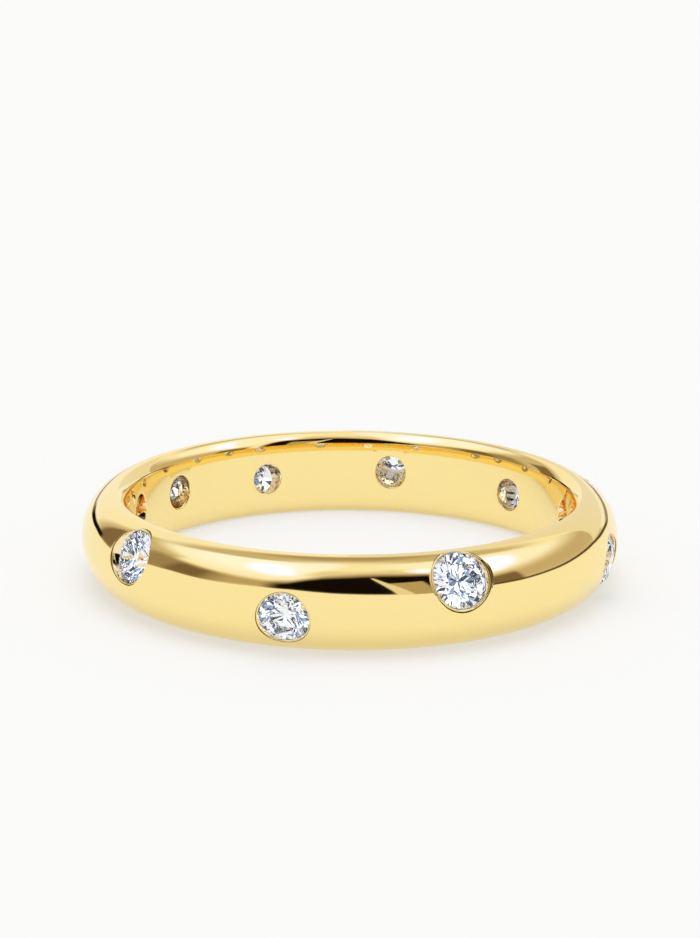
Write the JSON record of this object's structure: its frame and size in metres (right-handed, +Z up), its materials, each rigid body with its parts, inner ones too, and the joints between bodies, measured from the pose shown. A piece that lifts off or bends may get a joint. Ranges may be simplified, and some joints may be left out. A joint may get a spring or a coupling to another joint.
{
  "type": "flush set gypsy ring",
  "caption": "Domed gold finger ring with small round brilliants scattered round it, each sunk flush into the metal, with a hole behind each stone.",
  "frame": {"origin": "centre of the finger hole, at the height of the lower side face that the ring lies on", "axes": "+Z up along the finger hole, -Y towards the front of the ring as it is seen, +X to its right"},
  "size_m": [0.0208, 0.0208, 0.0035],
  "materials": {
    "gold": "mirror polished yellow gold",
    "stone": "clear, facet cut and polished"
  },
  "bodies": {
    "root": {"band": "gold", "stone_01": "stone", "stone_02": "stone", "stone_03": "stone", "stone_04": "stone", "stone_05": "stone", "stone_06": "stone", "stone_07": "stone", "stone_08": "stone", "stone_09": "stone", "stone_10": "stone"}
  },
  "joints": []
}
